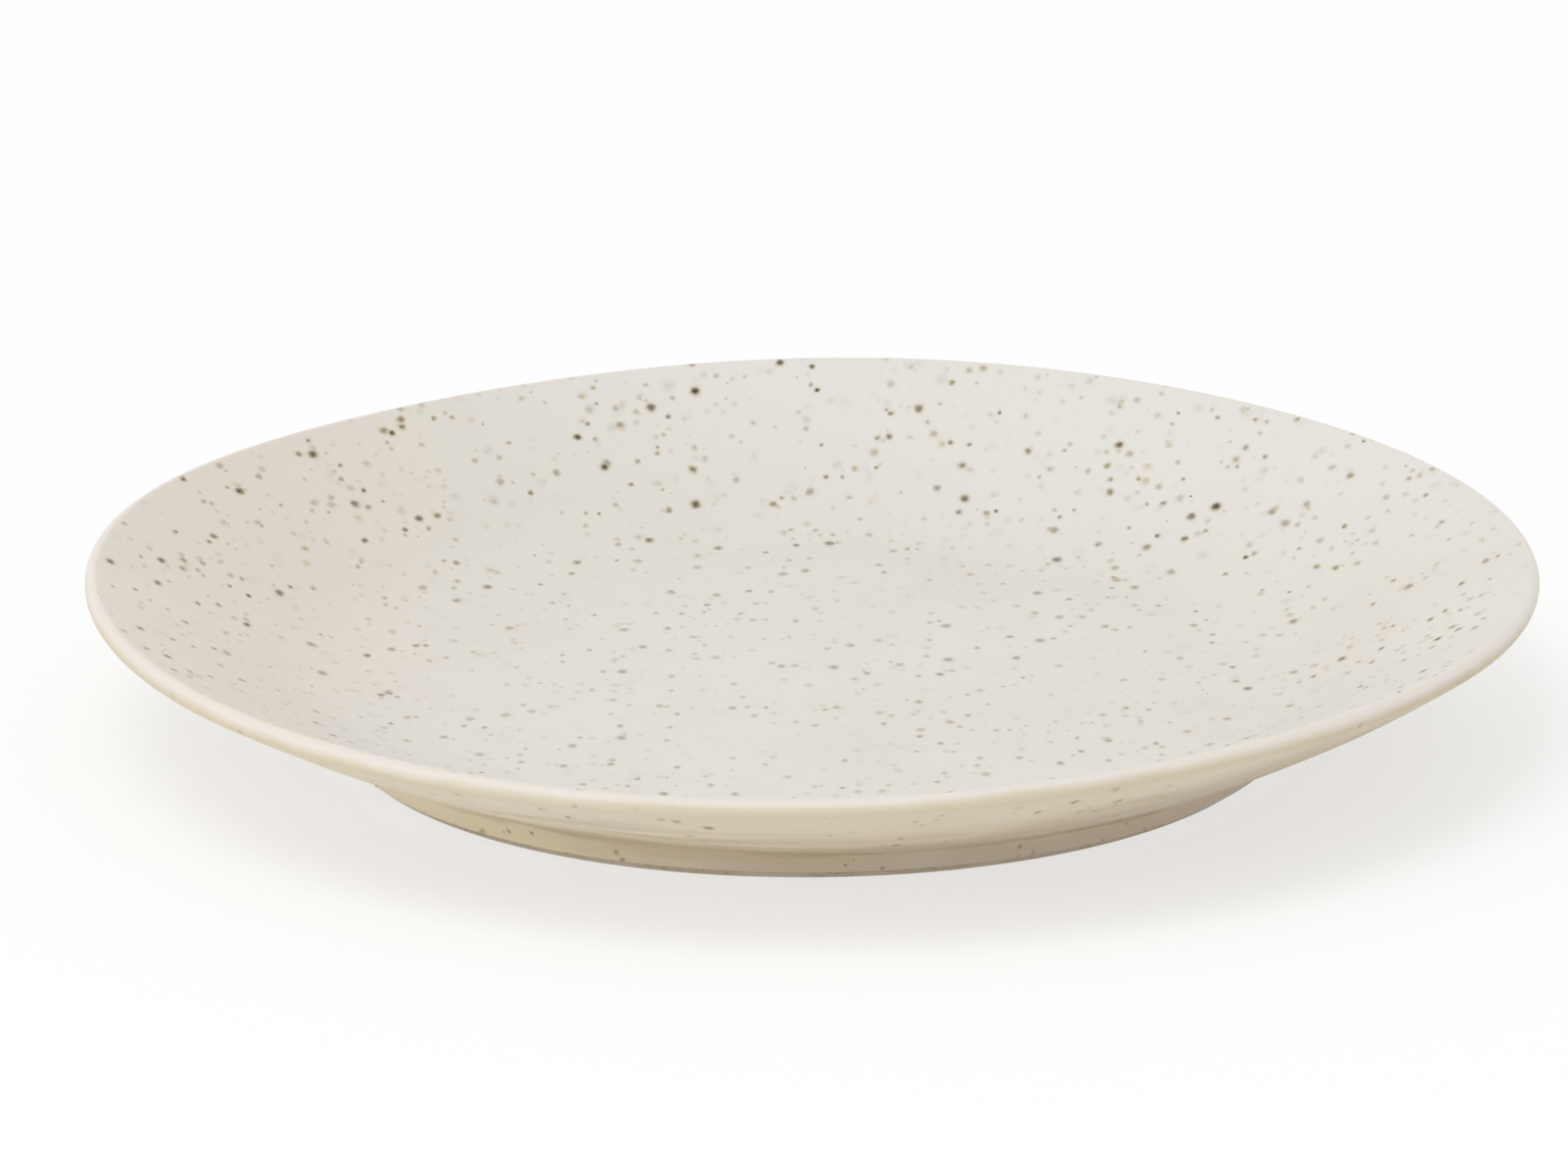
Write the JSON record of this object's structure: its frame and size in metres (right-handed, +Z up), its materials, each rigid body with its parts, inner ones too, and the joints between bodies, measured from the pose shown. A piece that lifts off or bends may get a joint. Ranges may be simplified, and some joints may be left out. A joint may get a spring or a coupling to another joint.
{
  "type": "bread plate",
  "caption": "Round shallow bread plate of speckled glazed stoneware with a gently dished face, a rounded lip and a low foot ring that it stands on.",
  "frame": {"origin": "middle of the plane that the foot ring rests on", "axes": "+Z up along the plate's own axis; the plate is round, so +X and +Y are any two level directions square to each other"},
  "size_m": [0.15, 0.15, 0.019],
  "materials": {
    "bare_stoneware": "bare fired clay, matt, fine grain",
    "face_glaze": "satin off-white glaze with dark iron speckle",
    "outer_glaze": "satin warm beige glaze with sparse speckle",
    "recess_glaze": "satin warm beige glaze, thin"
  },
  "bodies": {
    "root": {"stoneware_body": "bare_stoneware", "face_glaze": "face_glaze", "outer_glaze": "outer_glaze", "recess_glaze": "recess_glaze"}
  },
  "joints": []
}
